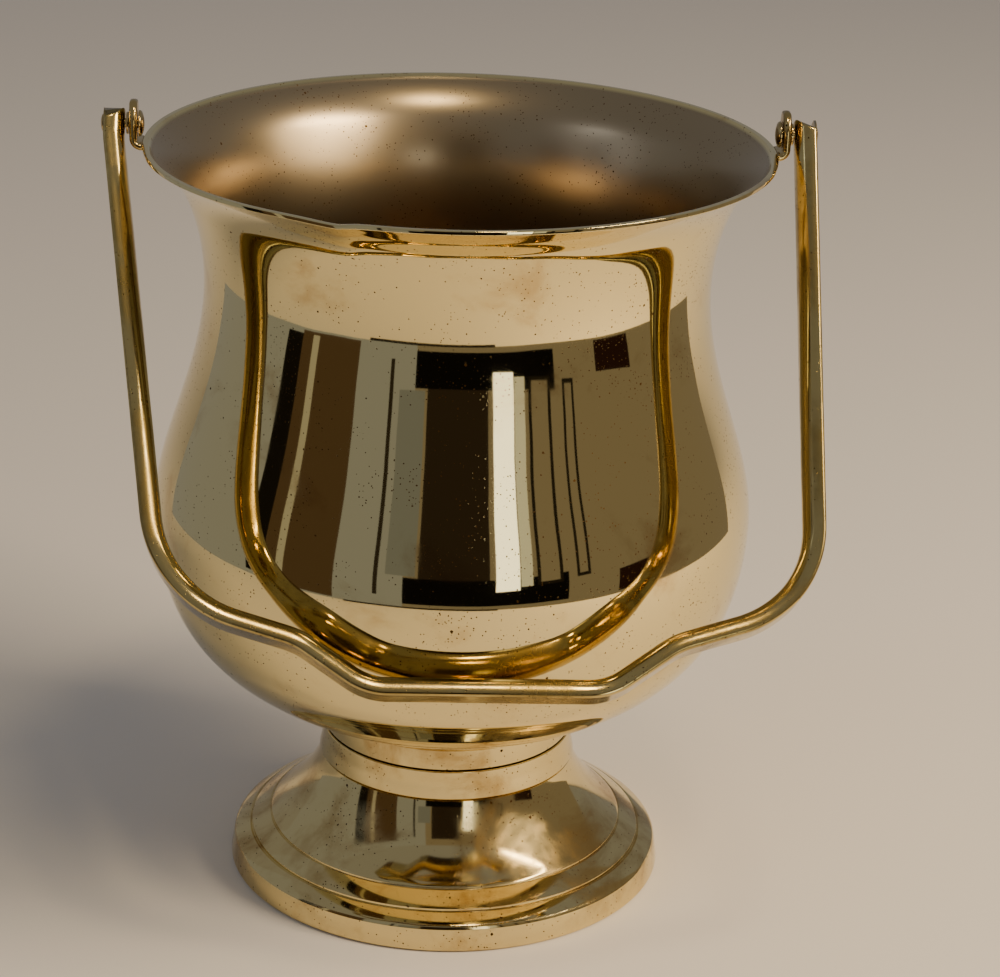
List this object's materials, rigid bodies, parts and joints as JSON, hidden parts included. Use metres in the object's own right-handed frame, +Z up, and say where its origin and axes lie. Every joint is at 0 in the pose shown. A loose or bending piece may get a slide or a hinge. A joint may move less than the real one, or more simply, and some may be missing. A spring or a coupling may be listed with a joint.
{
  "type": "champagne bucket",
  "caption": "Footed polished-brass champagne bucket: flared mouth, round belly, turned pedestal foot and a bent-strip bail handle that swings on riveted ears.",
  "frame": {"origin": "centre of the foot's underside, on the plane the bucket stands on", "axes": "+Z up along the bowl's axis; X through the two handle pivots, +X at the right pivot seen from the side where the handle hangs; -Y towards the side where the handle hangs at rest"},
  "size_m": [0.2294, 0.2116, 0.2658],
  "materials": {
    "bowl_brass": "spun sheet brass, polished, lightly tarnished",
    "foot_brass": "turned brass, polished, tarnished in the grooves",
    "ear_brass": "cut and bent strip brass, polished by hand",
    "rivet_brass": "drawn brass, peened",
    "handle_brass": "bent half-round strip, dull polish with small pits",
    "fixing_brass": "machined brass, unpolished"
  },
  "bodies": {
    "bucket": {"bowl": "bowl_brass", "bowl_collar": "bowl_brass", "neck_ring": "foot_brass", "foot": "foot_brass", "bowl_stud": "fixing_brass", "clamp_washer": "fixing_brass", "clamp_nut": "fixing_brass", "ear_left": "ear_brass", "ear_right": "ear_brass", "rivet_left": "rivet_brass", "rivet_right": "rivet_brass", "spacer_left": "rivet_brass", "spacer_right": "rivet_brass"},
    "bail": {"bail_handle": "handle_brass"}
  },
  "joints": [
    {"name": "bail_swing", "type": "hinge", "parent": "bucket", "child": "bail", "pos_m": [0, 0, 0.258], "axis": [-1, 0, 0], "range_deg": [0, 289.7]}
  ]
}
